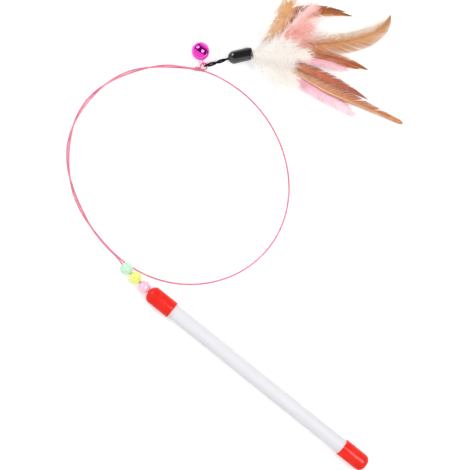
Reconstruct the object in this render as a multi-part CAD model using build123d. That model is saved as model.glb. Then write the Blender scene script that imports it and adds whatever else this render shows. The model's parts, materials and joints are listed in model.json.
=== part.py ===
from build123d import *
import math
import os

# Cat teaser wand, lying on a floor: a tube handle with two pushed-on caps, a springy coated wire
# coiled into a loose loop, three beads, a jingle bell and a feather lure on a black cord.
# Millimetres. The handle lies along X with the wire leaving at +X, and the origin is at mid-handle.

# Handle
tube_diameter = 10.0
tube_wall = 1.0
grip_length = 141.0
cap_length = 19.5
cap_wall = 0.75
cap_nose_wall = 1.5
cap_shoulder = 4.0
cap_fit = 0.03

# Coated wire and its bent end inside the front cap
wire_diameter = 1.0
wire_hole_clearance = 0.05
anchor_depth = 9.0
anchor_bend = 1.6
anchor_stop_gap = 0.3

# Loose loop of the wire, seen from above
loop_ahead = 32.7
loop_aside = -71.5
loop_radius = 71.5
loop_oval = 4.5
loop_oval_angle = -4.3
loop_pear = 0.6
loop_pear_angle = 13.6
loop_square = 0.48
loop_square_angle = 9.3
floor_gap = 0.02

# Where two passes of the wire twist about each other
strand_spacing = 1.55
twist_end_angle = -58.7
twist_rate = 0.0432
twist_slackening = 0.0000345
crossing_count = 6

# Beads on the wire next to the cap
bead_diameter = 8.0
bead_bore = 1.8
bead_gap = 0.25
bead_land = 2.6
lead_turn = -6.7
lead_dip = 1.5

# Eye at the wire's far end, its tail wrapped back round the wire
eye_radius = 2.1
eye_height = 2.85
eye_lead = 7.0
wrap_gap = 0.1
wrap_pitch = 1.5
wrap_turns = 2.25
wrap_root = 0.6

# Jingle bell
bell_diameter = 12.0
bell_wall = 0.5
bell_angle = 110.0
shank_wire = 0.7
shank_play = 0.25
shank_reach = 2.0
shank_foot_depth = 1.4
shank_foot_drop = 0.7
shank_foot_spread = 1.8
shank_foot_bend = 0.8
shank_hole_clearance = 0.1
slit_width = 0.8
slit_half_angle = 28.0
slit_hole = 1.9
clapper_diameter = 3.2
clapper_gap = 0.3

# Doubled cord between the eye and the lure
cord_diameter = 1.25
cord_play = 0.25
cord_angle = 24.6
cord_span = 13.6
cord_end_spacing = 1.72
cord_sag = 0.7
cord_twists = 1.0
cord_joint_gap = 0.3
cord_end_round = 0.96

# Lure cap, the knot and the glue inside it
lure_turn = -3.5
lure_cap_diameter = 8.5
lure_cap_wall = 0.9
lure_cap_length = 16.0
lure_mouth_round = 0.6
cord_hole_clearance = 0.1
knot_diameter = 4.6
knot_seat_gap = 0.1
glue_recess = 2.6
glue_length = 5.4
glue_fit = 0.02
quill_thickness = 0.76
quill_width = 0.8
quill_depth = 4.6
quill_hole_clearance = 0.05
quill_column_step = 1.2
quill_row_step = 1.05

tube_radius = tube_diameter / 2
cap_radius = tube_radius + cap_fit + cap_wall
cap_seat = cap_length - cap_shoulder
nose_x = grip_length / 2 + cap_length
floor_z = -cap_radius
wire_radius = wire_diameter / 2
loop_centre = Vector(nose_x + loop_ahead, loop_aside)
up = Vector(0, 0, 1)


def export(shape, name):
    shape.label = name
    export_step(shape, f"parts/{name}.step")


def polar(angle):
    return Vector(math.cos(math.radians(angle)), math.sin(math.radians(angle)))


def biarc(start, start_way, end, end_way):
    chord = end - start
    bend = 2 * (1 - start_way.dot(end_way))
    along = chord.dot(start_way + end_way)
    if bend < 1e-9:
        reach = chord.dot(chord) / (2 * along)
    else:
        reach = (math.sqrt(along * along + bend * chord.dot(chord)) - along) / bend
    middle = (start + end + (start_way - end_way) * reach) / 2
    middle_way = (end - end_way * reach - start - start_way * reach).normalized()
    pieces = []
    for a, way, b in ((start, start_way, middle), (middle, middle_way, end)):
        straight = (b - a).normalized().cross(way).length < 1e-6
        pieces.append(Line(a, b) if straight else TangentArc(a, b, tangent=way))
    return pieces


def tube(places, diameter, name):
    edges = []
    for (a, way_a), (b, way_b) in zip(places, places[1:]):
        edges += [piece.edge() for piece in biarc(a, way_a, b, way_b)]
    path = Wire(edges)
    section = Plane(origin=places[0][0], z_dir=places[0][1]) * Circle(diameter / 2)
    solid = sweep(section, path=path)
    report(name, edges, path, diameter, solid)
    return solid


def report(name, edges, path, diameter, solid):
    radii = [edge.radius for edge in edges if edge.geom_type == GeomType.CIRCLE]
    count = int(path.length / diameter * 3)
    points = [tuple(path.position_at(i / count)) for i in range(count + 1)]
    skip = int(count * 4 * diameter / path.length)
    gaps = [(math.dist(a, b), a) for i, a in enumerate(points) for b in points[i + skip :]]
    least, place = min(gaps)
    ratio = solid.volume / (math.pi * diameter**2 / 4 * path.length)
    print(
        f"{name}: length {path.length:.1f}, least radius {min(radii):.2f},",
        f"least gap to itself {least - diameter:.2f} near {[round(v, 1) for v in place]},",
        f"volume over section times length {ratio:.4f}",
    )


def ease(share):
    share = min(1, max(0, share))
    return share * share * (3 - 2 * share)


def stations(curve, values):
    step = math.copysign(1e-4, values[-1] - values[0])
    return [(curve(v), (curve(v + step) - curve(v - step)).normalized()) for v in values]


# Handle tube and end caps
tube_length = grip_length + 2 * cap_seat
handle_tube = Plane.YZ * Pos(0, 0, -tube_length / 2) * extrude(
    Circle(tube_radius) - Circle(tube_radius - tube_wall), tube_length
)


def round_cap(inner_radius, wall, nose_wall, length, shoulder, hole_radius):
    outer = inner_radius + wall
    inner_round = shoulder - nose_wall
    with BuildSketch(Plane.XZ) as profile:
        with BuildLine():
            Polyline(
                (length - nose_wall, hole_radius),
                (length, hole_radius),
                (length, outer - shoulder),
            )
            RadiusArc((length, outer - shoulder), (length - shoulder, outer), -shoulder)
            Polyline(
                (length - shoulder, outer),
                (0, outer),
                (0, inner_radius),
                (length - shoulder, inner_radius),
            )
            RadiusArc(
                (length - shoulder, inner_radius),
                (length - nose_wall, inner_radius - inner_round),
                inner_round,
            )
            Line(
                (length - nose_wall, inner_radius - inner_round),
                (length - nose_wall, hole_radius),
            )
        make_face()
    return revolve(profile.sketch, Axis.X)


def domed_cap(inner_radius, wall, length, mouth_round, hole_radius):
    outer = inner_radius + wall
    dome_x = length - math.sqrt(outer**2 - hole_radius**2)
    inside = dome_x + math.sqrt(inner_radius**2 - hole_radius**2)
    with BuildSketch(Plane.XZ) as profile:
        with BuildLine():
            Line((inside, hole_radius), (length, hole_radius))
            RadiusArc((length, hole_radius), (dome_x, outer), -outer)
            Line((dome_x, outer), (mouth_round, outer))
            RadiusArc((mouth_round, outer), (0, outer - mouth_round), -mouth_round)
            Polyline((0, outer - mouth_round), (0, inner_radius), (dome_x, inner_radius))
            RadiusArc((dome_x, inner_radius), (inside, hole_radius), inner_radius)
        make_face()
    return revolve(profile.sketch, Axis.X)


cap_sizes = (tube_radius + cap_fit, cap_wall, cap_nose_wall, cap_length, cap_shoulder)
front_cap = Pos(grip_length / 2, 0, 0) * round_cap(*cap_sizes, wire_radius + wire_hole_clearance)
rear_cap = Rot(0, 0, 180) * Pos(grip_length / 2, 0, 0) * round_cap(*cap_sizes, 0)

# Bent end of the wire, hooked behind the front cap's nose
hook_x = nose_x - cap_nose_wall - anchor_depth
anchor_path = (
    Line((nose_x, 0, 0), (hook_x, 0, 0))
    + ThreePointArc(
        (hook_x, 0, 0), (hook_x - anchor_bend, 0, anchor_bend), (hook_x, 0, 2 * anchor_bend)
    )
    + Line(
        (hook_x, 0, 2 * anchor_bend),
        (nose_x - cap_nose_wall - anchor_stop_gap, 0, 2 * anchor_bend),
    )
)
anchor_section = Plane(origin=(nose_x, 0, 0), z_dir=(-1, 0, 0)) * Circle(wire_radius)
wire_anchor = sweep(anchor_section, path=anchor_path)


# Loop of the wire: angles fall from the beads round to the eye
def loop_point(angle, aside, height):
    oval = loop_oval * math.cos(2 * math.radians(angle - loop_oval_angle))
    pear = loop_pear * math.cos(3 * math.radians(angle - loop_pear_angle))
    square = loop_square * math.cos(4 * math.radians(angle - loop_square_angle))
    place = loop_centre + polar(angle) * (loop_radius + oval + pear + square + aside)
    return place + up * (floor_z + floor_gap + wire_radius + height)


def crossing_angle(crossing):
    root = math.sqrt(twist_rate**2 - 4 * twist_slackening * crossing)
    return twist_end_angle + (twist_rate - root) / (2 * twist_slackening)


# The first pass is over at the fifth crossing and under at the last, then lies alone on the floor
def first_strand(crossing):
    phase = math.pi * crossing
    fade = min(1, 1 + crossing)
    height = strand_spacing / 2 * (1 - math.cos(phase)) if crossing > 0 else 0
    aside = -strand_spacing / 2 * math.sin(phase) * fade
    return loop_point(crossing_angle(crossing), aside, height)


def single_strand(angle):
    return loop_point(angle, 0, 0)


# The second pass comes in along the floor and is over at the last crossing, rising to the eye
def second_strand(crossing):
    phase = math.pi * crossing
    fade = min(1, crossing_count - crossing)
    height = strand_spacing / 2 * (1 + math.cos(phase)) if crossing < crossing_count - 1 else 0
    lift = ease(1 - crossing) * (eye_height - wire_radius - strand_spacing)
    aside = strand_spacing / 2 * math.sin(phase) * fade
    return loop_point(crossing_angle(crossing), aside, height + lift)


lead_way = (polar(lead_turn) * math.cos(math.radians(lead_dip))) - up * math.sin(
    math.radians(lead_dip)
)
nose = Vector(nose_x, 0, 0)
bead_places = [
    nose + lead_way * (bead_gap + bead_diameter / 2 + i * (bead_diameter + bead_gap))
    for i in range(3)
]

eye_heading = twist_end_angle - 90
eye_way = polar(eye_heading)
eye_base = second_strand(0) + eye_way * eye_lead
wrap_start = second_strand(0) + eye_way * wrap_root

first_values = [crossing_count - 1 - i / 2 for i in range(2 * crossing_count + 1)]
second_values = [crossing_count - i / 2 for i in range(2 * crossing_count)]
single_start = crossing_angle(-1)
single_sweep = 360 + single_start - crossing_angle(crossing_count)
single_values = [single_start - single_sweep * i / 8 for i in range(1, 8)]
wire_stations = (
    [(nose, Vector(1, 0, 0)), (bead_places[0], lead_way), (bead_places[2], lead_way)]
    + stations(first_strand, first_values)
    + stations(single_strand, single_values)
    + stations(second_strand, second_values)
    + [(wrap_start, eye_way), (eye_base, eye_way)]
)
wire = tube(wire_stations, wire_diameter, "wire")


# Beads
def bead(place):
    ball = Sphere(bead_diameter / 2)
    ends = Cylinder(bead_diameter / 2, 2 * math.sqrt((bead_diameter / 2) ** 2 - (bead_land / 2) ** 2))
    bored = (ball & ends) - Cylinder(bead_bore / 2, bead_diameter)
    return Plane(origin=place, z_dir=lead_way) * bored


# Eye: most of a circle, then the tail crosses over the wire and winds back along it
wrap_radius = wire_diameter + wrap_gap
eye_plane = Plane(origin=eye_base, x_dir=eye_way, z_dir=up)
eye_side = polar(eye_heading + 90)


def eye_point(angle):
    spot = polar(angle) * eye_radius + Vector(0, eye_radius)
    return spot + up * (wrap_radius * (angle + 90) / 270)


def wrap_point(turns):
    phase = 2 * math.pi * turns
    return Vector(
        -eye_radius - wrap_pitch * turns,
        -wrap_radius * math.sin(phase),
        wrap_radius * math.cos(phase),
    )


eye_stations = stations(eye_point, [-90 + 45 * i for i in range(7)])
eye_stations[0] = (eye_stations[0][0], Vector(1, 0, 0))
wrap_stations = stations(wrap_point, [i / 8 for i in range(int(wrap_turns * 8) + 1)])
placed = [
    (eye_plane.from_local_coords(place), eye_way * way.X + eye_side * way.Y + up * way.Z)
    for place, way in eye_stations + wrap_stations
]
wire_eye = tube(placed, wire_diameter, "wire_eye")

# Jingle bell, its shank looped round the eye
bell_radius = bell_diameter / 2
link = eye_plane.from_local_coords(eye_point(bell_angle))
link_out = polar(eye_heading + bell_angle)
bell_span = bell_radius + shank_reach
bell_rise = math.asin((bell_radius - (link.Z - floor_z)) / bell_span)
bell_way = link_out * math.cos(bell_rise) + up * math.sin(bell_rise)
swing_axis = polar(eye_heading + bell_angle + 90)
shank_plane = Plane(origin=link, x_dir=bell_way, z_dir=swing_axis)
bell_plane = Plane(origin=link + bell_way * bell_span, x_dir=bell_way, z_dir=swing_axis)

shank_radius = wire_radius + shank_play + shank_wire / 2
foot_top = bell_span - bell_radius + shank_foot_depth
foot = [
    (0, shank_radius),
    (foot_top, shank_radius),
    (foot_top + shank_foot_drop, shank_radius + shank_foot_spread),
]
upper_leg = FilletPolyline(*foot, radius=shank_foot_bend)
lower_leg = FilletPolyline(*[(x, -y) for x, y in foot], radius=shank_foot_bend)
shank_path = upper_leg + ThreePointArc((0, shank_radius), (-shank_radius, 0), (0, -shank_radius)) + lower_leg
foot_way = Vector(-shank_foot_drop, -shank_foot_spread)
shank_section = Plane(origin=foot[-1], z_dir=foot_way) * Circle(shank_wire / 2)
bell_shank = shank_plane * sweep(shank_section, path=shank_path)

slit_reach = bell_radius * math.sin(math.radians(slit_half_angle))
shank_hole = shank_radius + shank_wire / 2 + shank_hole_clearance
shell = Sphere(bell_radius) - Sphere(bell_radius - bell_wall)
shell -= Pos(bell_radius, 0, 0) * Box(bell_radius, 2 * slit_reach, slit_width)
shell -= Pos(-bell_radius, 0, 0) * Rot(0, 90, 0) * Cylinder(shank_hole, bell_radius)
for side in (-1, 1):
    end_way = polar(side * slit_half_angle)
    shell -= Plane(origin=end_way * bell_radius, z_dir=end_way) * Cylinder(slit_hole / 2, bell_radius)
bell_shell = bell_plane * shell
clapper_drop = bell_radius - bell_wall - clapper_gap - clapper_diameter / 2
bell_clapper = Pos(bell_plane.origin - up * clapper_drop) * Sphere(clapper_diameter / 2)

# Doubled cord: up one leg, round the eye and back, the legs twisted about each other
lure_radius = lure_cap_diameter / 2
cord_radius = cord_diameter / 2
bight_radius = wire_radius + cord_play + cord_radius
bight = eye_plane.from_local_coords(eye_point(cord_angle))
cord_way = polar(eye_heading + cord_angle)
cord_side = polar(eye_heading + cord_angle + 90)
joint_spot = bight + cord_way * cord_span
lure_joint = Vector(joint_spot.X, joint_spot.Y, floor_z + lure_radius)


def cord_leg(share, side):
    rise = (lure_joint.Z - bight.Z) * ease(share) - cord_sag * math.sin(math.pi * share) ** 2
    middle = bight + cord_way * (cord_span * share) + up * rise
    spread = bight_radius + (cord_end_spacing / 2 - bight_radius) * ease(2 * share)
    phase = 2 * math.pi * cord_twists * ease(share)
    return middle + (up * math.cos(phase) + cord_side * math.sin(phase)) * (spread * side)


leg_shares = [i / 8 for i in range(9)]
upper = stations(lambda share: cord_leg(share, 1), leg_shares[::-1])
lower = stations(lambda share: cord_leg(share, -1), leg_shares)
bight_end = (bight - cord_way * bight_radius, -up)
lure_cord = tube(upper + [bight_end] + lower, cord_diameter, "lure_cord")
cord_tip = Sphere(cord_radius * cord_end_round, 0, 90, align=(Align.CENTER, Align.CENTER, Align.MIN))
for end, _ in (upper[0], lower[-1]):
    lure_cord += Plane(origin=end, z_dir=cord_way) * cord_tip

# Lure cap, knot and glue, in the lure's own frame from the joint
lure_way = polar(eye_heading + cord_angle + lure_turn)
lure_plane = Plane(origin=lure_joint, x_dir=lure_way, z_dir=up)
cap_start = cord_radius + cord_joint_gap
mouth_x = cap_start + lure_cap_length
lure_bore = lure_radius - lure_cap_wall
cord_hole = cord_end_spacing / 2 + cord_radius + cord_hole_clearance
lure_cap = lure_plane * Pos(mouth_x, 0, 0) * Rot(0, 0, 180) * domed_cap(
    lure_bore, lure_cap_wall, lure_cap_length, lure_mouth_round, cord_hole
)
knot_radius = knot_diameter / 2
dome_inside = cap_start + math.sqrt(lure_radius**2 - cord_hole**2) - math.sqrt(lure_bore**2 - cord_hole**2)
knot_x = dome_inside + math.sqrt(knot_radius**2 - cord_hole**2) + knot_seat_gap
knot = Pos(knot_x, 0, 0) * Sphere(knot_radius)
for side in (-1, 1):
    tail = Rot(0, 90, 0) * Cylinder(cord_radius, knot_x - cap_start, align=(Align.CENTER, Align.CENTER, Align.MIN))
    knot += Pos(cap_start, 0, side * cord_end_spacing / 2) * tail
cord_knot = lure_plane * knot

glue_end = mouth_x - glue_recess
quill_x = glue_end - quill_depth
quill_spots = [
    (column * quill_column_step, row * quill_row_step) for column in (1, 0, -1) for row in (-2, -1, 0, 1, 2)
]
glue = Pos(glue_end, 0, 0) * Rot(0, -90, 0) * Cylinder(
    lure_bore - glue_fit, glue_length, align=(Align.CENTER, Align.CENTER, Align.MIN)
)
for y, z in quill_spots[:-1]:
    hole = Cylinder(
        quill_width / 2 + quill_hole_clearance, quill_depth, align=(Align.CENTER, Align.CENTER, Align.MIN)
    )
    glue -= Pos(glue_end, y, z) * Rot(0, -90, 0) * hole
glue_plug = lure_plane * glue

# Feathers: each is a quill that widens into a thin cambered vane along a curved spine.
# Bends and tip are forward, aside and above the centre of the lure cap's mouth.
feathers = {
    "feather_brown_top_long": dict(
        bends=[(23.5, 32.3, -2.2)], tip=(65.9, 11.8, -2.6), width=6.5, thick=0.5, form="blade"
    ),
    "feather_brown_top_short": dict(
        bends=[(28.9, 27.6, -0.4)], tip=(69.7, 7.6, -0.6), width=6.5, thick=0.5, form="blade"
    ),
    "feather_tan_broad": dict(
        bends=[(18.2, 9.4, 2.4)], tip=(29.3, 26.5, 3.2), width=14, thick=0.6, form="plume"
    ),
    "plume_pink_upper": dict(
        bends=[(24, 2.7, 4.8)], tip=(45.6, 19, 6.4), width=15, thick=1.6, form="plume"
    ),
    "plume_white_upper": dict(
        bends=[(7.3, 11.3, 7.4)], tip=(21.8, 24.3, 9.2), width=15, thick=4.5, form="plume"
    ),
    "feather_brown_middle_long": dict(
        bends=[(41.8, -4.9, -2.4)], tip=(71.5, -28.5, -3.0), width=7, thick=0.5, form="blade"
    ),
    "feather_brown_middle_short": dict(
        bends=[(37.6, -8.3, -0.7)], tip=(65.5, -26.7, -1.0), width=6, thick=0.5, form="blade"
    ),
    "plume_pink_middle": dict(
        bends=[(33.5, -11.6, 0.7)], tip=(55.6, -23.9, 0.6), width=9, thick=0.6, form="plume"
    ),
    "feather_tan_curled": dict(
        bends=[(29.9, 0, 2.4), (80.2, -21.3, 3.6)], tip=(92.6, 2.8, 3.0), width=14, thick=0.6, form="blade"
    ),
    "plume_cream_middle": dict(
        bends=[(19.7, -5.6, 8.6)], tip=(40.9, -13.9, 8.6), width=11, thick=4.0, form="plume"
    ),
    "plume_pink_lower": dict(
        bends=[(23.7, -20.8, -2.4)], tip=(54.6, -53.9, -3.0), width=12, thick=0.8, form="plume"
    ),
    "feather_brown_low_long": dict(
        bends=[(40.4, -30.9, -0.3)], tip=(85.1, -68, -1.6), width=11, thick=0.5, form="tail"
    ),
    "feather_rust_low": dict(
        bends=[(32.9, -15.6, 2.4)], tip=(65.2, -48.8, 2.0), width=8, thick=0.5, form="blade"
    ),
    "plume_cream_lower": dict(
        bends=[(7.4, -13.2, 5.0)], tip=(20, -25.2, 6.2), width=14, thick=4.0, form="plume"
    ),
}
vane_shares = (0.14, 0.3, 0.5, 0.7, 0.86, 1.0)
vane_forms = {
    "blade": (0.34, 0.78, 1.0, 0.92, 0.62, 0.08),
    "tail": (0.4, 0.95, 1.0, 0.68, 0.5, 0.28),
    "plume": (0.3, 0.68, 0.95, 1.0, 0.8, 0.3),
}
vane_camber = 0.05


def along_spine(points, share):
    if len(points) == 1:
        return points[0]
    return along_spine(points[:-1], share) * (1 - share) + along_spine(points[1:], share) * share


def vane_section(place, way, wide, deep, camber):
    half = wide / 2
    top = ThreePointArc((-half, 0), (0, camber + deep / 2), (half, 0))
    bottom = ThreePointArc((half, 0), (0, camber - deep / 2), (-half, 0))
    return Plane(origin=place, x_dir=up.cross(way), z_dir=way) * make_face(top + bottom)


def feather(spot, bends, tip, width, thick, form):
    mouth = Vector(mouth_x, 0, 0)
    spine = [Vector(mouth_x, *spot)] + [mouth + Vector(*bend) for bend in bends] + [mouth + Vector(*tip)]
    slopes = [b - a for a, b in zip(spine, spine[1:])]
    ahead = Vector(1, 0, 0)
    sections = [
        vane_section(Vector(quill_x, *spot), ahead, quill_width, quill_thickness, 0),
        vane_section(spine[0], ahead, quill_width, quill_thickness, 0),
    ]
    for share, fullness in zip(vane_shares, vane_forms[form]):
        way = along_spine(slopes, share).normalized()
        wide = width * fullness
        deep = (quill_thickness + (thick - quill_thickness) * fullness) * (1 + fullness) / 2
        sections.append(vane_section(along_spine(spine, share), way, wide, deep, wide * vane_camber))
    return lure_plane * loft(sections, ruled=True)


os.makedirs("parts", exist_ok=True)
for name, shape in {
    "handle_tube": handle_tube,
    "front_cap": front_cap,
    "rear_cap": rear_cap,
    "wire_anchor": wire_anchor,
    "wire": wire,
    "wire_eye": wire_eye,
    "bell_shell": bell_shell,
    "bell_shank": bell_shank,
    "bell_clapper": bell_clapper,
    "lure_cord": lure_cord,
    "lure_cap": lure_cap,
    "cord_knot": cord_knot,
    "glue_plug": glue_plug,
}.items():
    export(shape, name)
for colour, place in zip(("pink", "yellow", "green"), bead_places):
    export(bead(place), f"bead_{colour}")
for (name, sizes), spot in zip(feathers.items(), quill_spots):
    export(feather(spot, **sizes), name)
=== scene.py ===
import json
import math
import random

import bmesh
import bpy
from mathutils import Matrix, Vector


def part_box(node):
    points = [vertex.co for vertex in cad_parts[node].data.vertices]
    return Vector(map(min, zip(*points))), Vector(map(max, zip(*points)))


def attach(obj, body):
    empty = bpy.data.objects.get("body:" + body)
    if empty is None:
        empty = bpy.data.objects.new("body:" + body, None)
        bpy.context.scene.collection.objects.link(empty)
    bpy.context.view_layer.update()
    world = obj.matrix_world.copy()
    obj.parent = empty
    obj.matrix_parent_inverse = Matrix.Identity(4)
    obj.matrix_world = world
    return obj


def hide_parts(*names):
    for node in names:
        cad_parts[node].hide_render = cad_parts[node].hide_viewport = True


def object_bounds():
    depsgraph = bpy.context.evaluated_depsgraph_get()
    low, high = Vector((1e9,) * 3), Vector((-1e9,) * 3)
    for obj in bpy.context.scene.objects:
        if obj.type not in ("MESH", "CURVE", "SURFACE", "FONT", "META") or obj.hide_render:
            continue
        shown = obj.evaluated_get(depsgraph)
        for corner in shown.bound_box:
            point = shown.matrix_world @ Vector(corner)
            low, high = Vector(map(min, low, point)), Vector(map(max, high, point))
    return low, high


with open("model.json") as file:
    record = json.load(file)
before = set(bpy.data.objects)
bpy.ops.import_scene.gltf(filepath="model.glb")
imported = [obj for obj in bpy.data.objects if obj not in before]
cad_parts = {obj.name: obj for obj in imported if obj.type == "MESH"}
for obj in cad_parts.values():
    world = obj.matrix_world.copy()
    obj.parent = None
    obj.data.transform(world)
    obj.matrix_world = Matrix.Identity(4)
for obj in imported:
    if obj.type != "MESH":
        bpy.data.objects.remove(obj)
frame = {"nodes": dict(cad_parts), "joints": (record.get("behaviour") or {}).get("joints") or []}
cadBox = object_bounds()
mm = 0.001
tiny = 1e-6
up = Vector((0, 0, 1))
forward = Vector((1, 0, 0))
joints = {joint["name"]: joint for joint in frame["joints"]}


def jointPlace(name):
    return Vector(joints[name]["pos_m"])


def jointAxis(name):
    return Vector(joints[name]["axis"])


def polar(degrees, radius=1.0):
    turn = math.radians(degrees)
    return Vector((math.cos(turn), math.sin(turn), 0)) * radius


def ease(share):
    share = min(1, max(0, share))
    return share * share * (3 - 2 * share)


# Shader nodes, for a material or the world


def addNode(owner, kind, **values):
    node = owner.node_tree.nodes.new(kind)
    for key, value in values.items():
        if key in node.inputs:
            node.inputs[key].default_value = value
        else:
            setattr(node, key, value)
    return node


def join(owner, source, socket):
    if isinstance(source, bpy.types.NodeSocket):
        owner.node_tree.links.new(source, socket)
    else:
        socket.default_value = source


def mathNode(owner, operation, *sources):
    node = addNode(owner, "ShaderNodeMath", operation=operation)
    for source, socket in zip(sources, node.inputs):
        join(owner, source, socket)
    return node.outputs[0]


def mapRange(owner, source, before=(0, 1), after=(0, 1), smooth=False):
    node = addNode(owner, "ShaderNodeMapRange")
    node.interpolation_type = "SMOOTHSTEP" if smooth else "LINEAR"
    for name, value in zip(("From Min", "From Max", "To Min", "To Max"), (*before, *after)):
        node.inputs[name].default_value = value
    join(owner, source, node.inputs["Value"])
    return node.outputs["Result"]


def colourMix(material, factor, first, second, blend="MIX"):
    node = addNode(material, "ShaderNodeMix", data_type="RGBA", blend_type=blend)
    sockets = {socket.identifier: socket for socket in (*node.inputs, *node.outputs)}
    join(material, factor, sockets["Factor_Float"])
    join(material, first, sockets["A_Color"])
    join(material, second, sockets["B_Color"])
    return sockets["Result_Color"]


def seenShare(owner):
    path = addNode(owner, "ShaderNodeLightPath")
    seen = mathNode(owner, "MAXIMUM", path.outputs["Is Camera Ray"], path.outputs["Is Glossy Ray"])
    return mathNode(owner, "MAXIMUM", seen, path.outputs["Is Transmission Ray"])


def newFinish(name, rough, **sockets):
    material = bpy.data.materials.new(name)
    material.use_nodes = True
    shader = material.node_tree.nodes["Principled BSDF"]
    shader.inputs["Roughness"].default_value = rough
    for socket, value in sockets.items():
        shader.inputs[socket.replace("_", " ")].default_value = value
    return material, shader


# Camera straight above, turned so that the handle runs from lower right to middle left
shot = {
    "centre": (69.5, -63.6),
    "height": 710,
    "halfWidth": 152.3,
    "right": 218.8,
    "clip": (0.02, 20),
}


def setCamera():
    data = bpy.data.cameras.new("shotCamera")
    camera = bpy.data.objects.new("shotCamera", data)
    bpy.context.scene.collection.objects.link(camera)
    right = polar(shot["right"])
    spin = Matrix((right, up.cross(right), up)).transposed().to_4x4()
    place = Vector((*shot["centre"], shot["height"])) * mm
    camera.matrix_world = Matrix.Translation(place) @ spin
    data.lens = data.sensor_width / 2 * shot["height"] / shot["halfWidth"]
    data.clip_start, data.clip_end = shot["clip"]
    bpy.context.scene.camera = camera


# Studio: pale floor, white sky with a dark patch for reflections, overhead and fill lamps, two small spots,
# and at each spot a card that only reflections show
studio = {
    "middle": (0.07, -0.06),
    "floorSize": 3.0,
    "floorColour": (0.93, 0.93, 0.93, 1),
    "floorRough": 0.9,
    "floorGloss": 0.1,
    "floorLift": 0.28,
    "ambient": 0.5,
    "overheadPower": 1.9,
    "overheadSize": 1.1,
    "overheadPlace": (0.1, -0.04, 1.0),
    "fillPower": 1.7,
    "fillSize": 0.8,
    "fillPlace": (0.0, 0.72, 0.75),
    "spotPower": 3.0,
    "spotSize": 0.24,
    "spotPlaces": [(0.91, -0.34, 0.63), (-0.33, -0.34, 0.85)],
    "cardPower": 10,
    "cardSize": 0.4,
    "skyColour": (0.8, 0.8, 0.8, 1),
    "skyBright": 1.25,
    "skyDark": 0.14,
    "patchPlace": (0.017, -0.2, 0),
    "patchTurn": 4.9,
    "patchSize": (1.3, 0.66, 1000),
    "patchEdge": (0.75, 1.15),
}
white = (1, 1, 1, 1)


def setWorld():
    bpy.context.scene.view_settings.view_transform = "Standard"
    world = bpy.data.worlds.new("studioWorld")
    bpy.context.scene.world = world
    world.use_nodes = True
    world.node_tree.nodes.clear()
    plain = addNode(world, "ShaderNodeBackground", Color=white, Strength=studio["ambient"])
    seen = addNode(world, "ShaderNodeBackground", Color=studio["skyColour"])
    mix = addNode(world, "ShaderNodeMixShader")
    out = addNode(world, "ShaderNodeOutputWorld")
    for source, socket in zip((seenShare(world), plain.outputs[0], seen.outputs[0]), mix.inputs):
        join(world, source, socket)
    join(world, mix.outputs[0], out.inputs["Surface"])
    coords = addNode(world, "ShaderNodeTexCoord")
    patch = addNode(
        world,
        "ShaderNodeMapping",
        vector_type="TEXTURE",
        Location=studio["patchPlace"],
        Rotation=(0, 0, math.radians(studio["patchTurn"])),
        Scale=studio["patchSize"],
    )
    reach = addNode(world, "ShaderNodeVectorMath", operation="LENGTH")
    join(world, coords.outputs["Generated"], patch.inputs["Vector"])
    join(world, patch.outputs["Vector"], reach.inputs[0])
    levels = (studio["skyDark"], studio["skyBright"])
    shade = mapRange(world, reach.outputs["Value"], studio["patchEdge"], levels, smooth=True)
    join(world, shade, seen.inputs["Strength"])


def setLamps():
    lamps = [("overhead", studio["overheadPlace"]), ("fill", studio["fillPlace"])]
    lamps += [(kind, place) for kind in ("spot", "card") for place in studio["spotPlaces"]]
    for name, place in lamps:
        light = bpy.data.lights.new(name, "AREA")
        light.size = studio[f"{name}Size"]
        light.energy = studio[f"{name}Power"]
        lamp = bpy.data.objects.new(name, light)
        lamp.location = place
        aim = Vector((*studio["middle"], 0)) - Vector(place)
        lamp.rotation_euler = aim.to_track_quat("-Z", "Y").to_euler()
        lamp.visible_glossy = name == "card"
        lamp.visible_diffuse = name != "card"
        bpy.context.scene.collection.objects.link(lamp)


def setFloor():
    bm = bmesh.new()
    bmesh.ops.create_grid(bm, x_segments=1, y_segments=1, size=studio["floorSize"] / 2)
    bmesh.ops.translate(bm, verts=bm.verts, vec=(*studio["middle"], cadBox[0].z))
    mesh = bpy.data.meshes.new("floor")
    bm.to_mesh(mesh)
    bm.free()
    floor = bpy.data.objects.new("floor", mesh)
    bpy.context.scene.collection.objects.link(floor)
    material, shader = newFinish(
        "paleFloor",
        studio["floorRough"],
        Base_Color=studio["floorColour"],
        Specular_IOR_Level=studio["floorGloss"],
        Emission_Color=white,
    )
    lift = mathNode(material, "MULTIPLY", seenShare(material), studio["floorLift"])
    join(material, lift, shader.inputs["Emission Strength"])
    mesh.materials.append(material)


setCamera()
setWorld()
setLamps()
setFloor()
print("camera and studio set")

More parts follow.
